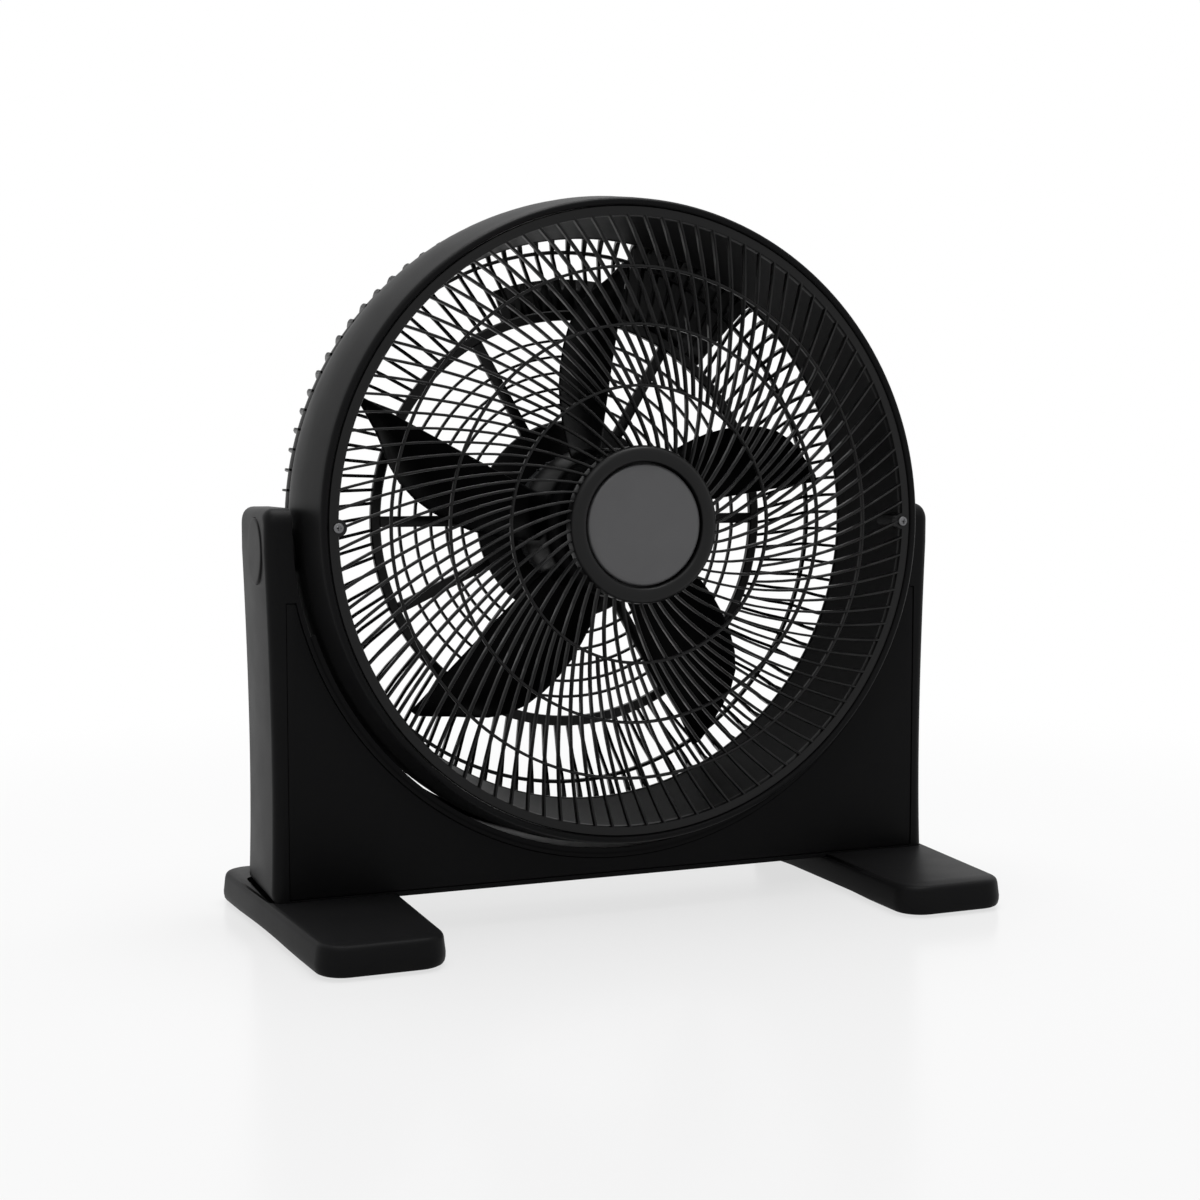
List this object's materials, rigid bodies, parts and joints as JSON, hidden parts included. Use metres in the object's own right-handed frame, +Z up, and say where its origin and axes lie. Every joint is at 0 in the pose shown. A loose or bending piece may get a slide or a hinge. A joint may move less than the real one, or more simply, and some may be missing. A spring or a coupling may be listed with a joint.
{
  "type": "air circulator fan",
  "caption": "Floor air circulator: a round shrouded fan head with spiral-spoke grilles tilts between the arms of a U-shaped panel stand on flat feet.",
  "frame": {"origin": "on the floor, below the middle of the fan's width and depth", "axes": "+X to the right of someone facing the front of the fan, +Y from the front to the back, +Z up"},
  "size_m": [0.596, 0.278, 0.566],
  "materials": {
    "satin_black_plastic": "satin",
    "grille_black_plastic": "satin",
    "blade_black_plastic": "semi-gloss",
    "badge_grey_plastic": "semi-gloss",
    "foot_rubber": "matt",
    "nylon": "matt",
    "steel": "plain",
    "zinc_plated_steel": "plated",
    "die_cast_aluminium": "cast",
    "brass": "plain",
    "copper_winding": "enamelled wire",
    "steel_lamination": "stacked sheet"
  },
  "bodies": {
    "stand": {"stand_shell": "satin_black_plastic", "stand_front_cover": "satin_black_plastic", "cover_screw_left_outer": "zinc_plated_steel", "cover_screw_left_inner": "zinc_plated_steel", "cover_screw_right_outer": "zinc_plated_steel", "cover_screw_right_inner": "zinc_plated_steel", "foot_left": "satin_black_plastic", "foot_right": "satin_black_plastic", "foot_pad_left_front": "foot_rubber", "foot_pad_left_rear": "foot_rubber", "foot_pad_right_front": "foot_rubber", "foot_pad_right_rear": "foot_rubber", "foot_screw_left_front": "zinc_plated_steel", "foot_screw_left_rear": "zinc_plated_steel", "foot_screw_right_front": "zinc_plated_steel", "foot_screw_right_rear": "zinc_plated_steel", "pivot_cap_left": "satin_black_plastic", "pivot_cap_right": "satin_black_plastic", "pivot_bolt_left": "steel", "pivot_bolt_right": "steel", "pivot_washer_left": "nylon", "pivot_washer_right": "nylon"},
    "head": {"shroud_ring": "satin_black_plastic", "pivot_insert_left": "brass", "pivot_insert_right": "brass", "front_grille": "grille_black_plastic", "grille_badge": "badge_grey_plastic", "grille_screw_left": "zinc_plated_steel", "grille_screw_right": "zinc_plated_steel", "rear_grille": "grille_black_plastic", "rear_grille_screw_1": "zinc_plated_steel", "rear_grille_screw_2": "zinc_plated_steel", "rear_grille_screw_3": "zinc_plated_steel", "rear_grille_screw_4": "zinc_plated_steel", "motor_front_bell": "die_cast_aluminium", "motor_rear_bell": "die_cast_aluminium", "motor_stator": "steel_lamination", "winding_front": "copper_winding", "winding_rear": "copper_winding", "bearing_front": "brass", "bearing_rear": "brass", "motor_screw_upper_right": "zinc_plated_steel", "motor_screw_upper_left": "zinc_plated_steel", "motor_screw_lower_left": "zinc_plated_steel", "motor_screw_lower_right": "zinc_plated_steel", "motor_cover": "satin_black_plastic", "motor_cover_screw_left": "zinc_plated_steel", "motor_cover_screw_right": "zinc_plated_steel", "speed_switch": "nylon", "capacitor": "nylon", "cord_gland": "foot_rubber"},
    "rotor": {"fan_blades": "blade_black_plastic", "motor_shaft": "steel", "rotor_core": "steel_lamination", "drive_pin": "steel", "blade_nut": "nylon"},
    "knob": {"speed_knob": "badge_grey_plastic"}
  },
  "joints": [
    {"name": "head_tilt", "type": "hinge", "parent": "stand", "child": "head", "pos_m": [0, 0.036, 0.288], "axis": [-1, 0, 0], "range_deg": [-15, 90]},
    {"name": "fan_spin", "type": "hinge", "parent": "head", "child": "rotor", "pos_m": [0, 0.036, 0.307], "axis": [0, 1, 0], "continuous": true},
    {"name": "knob_turn", "type": "hinge", "parent": "head", "child": "knob", "pos_m": [0, 0.13, 0.307], "axis": [0, -1, 0], "range_deg": [0, 135]}
  ]
}
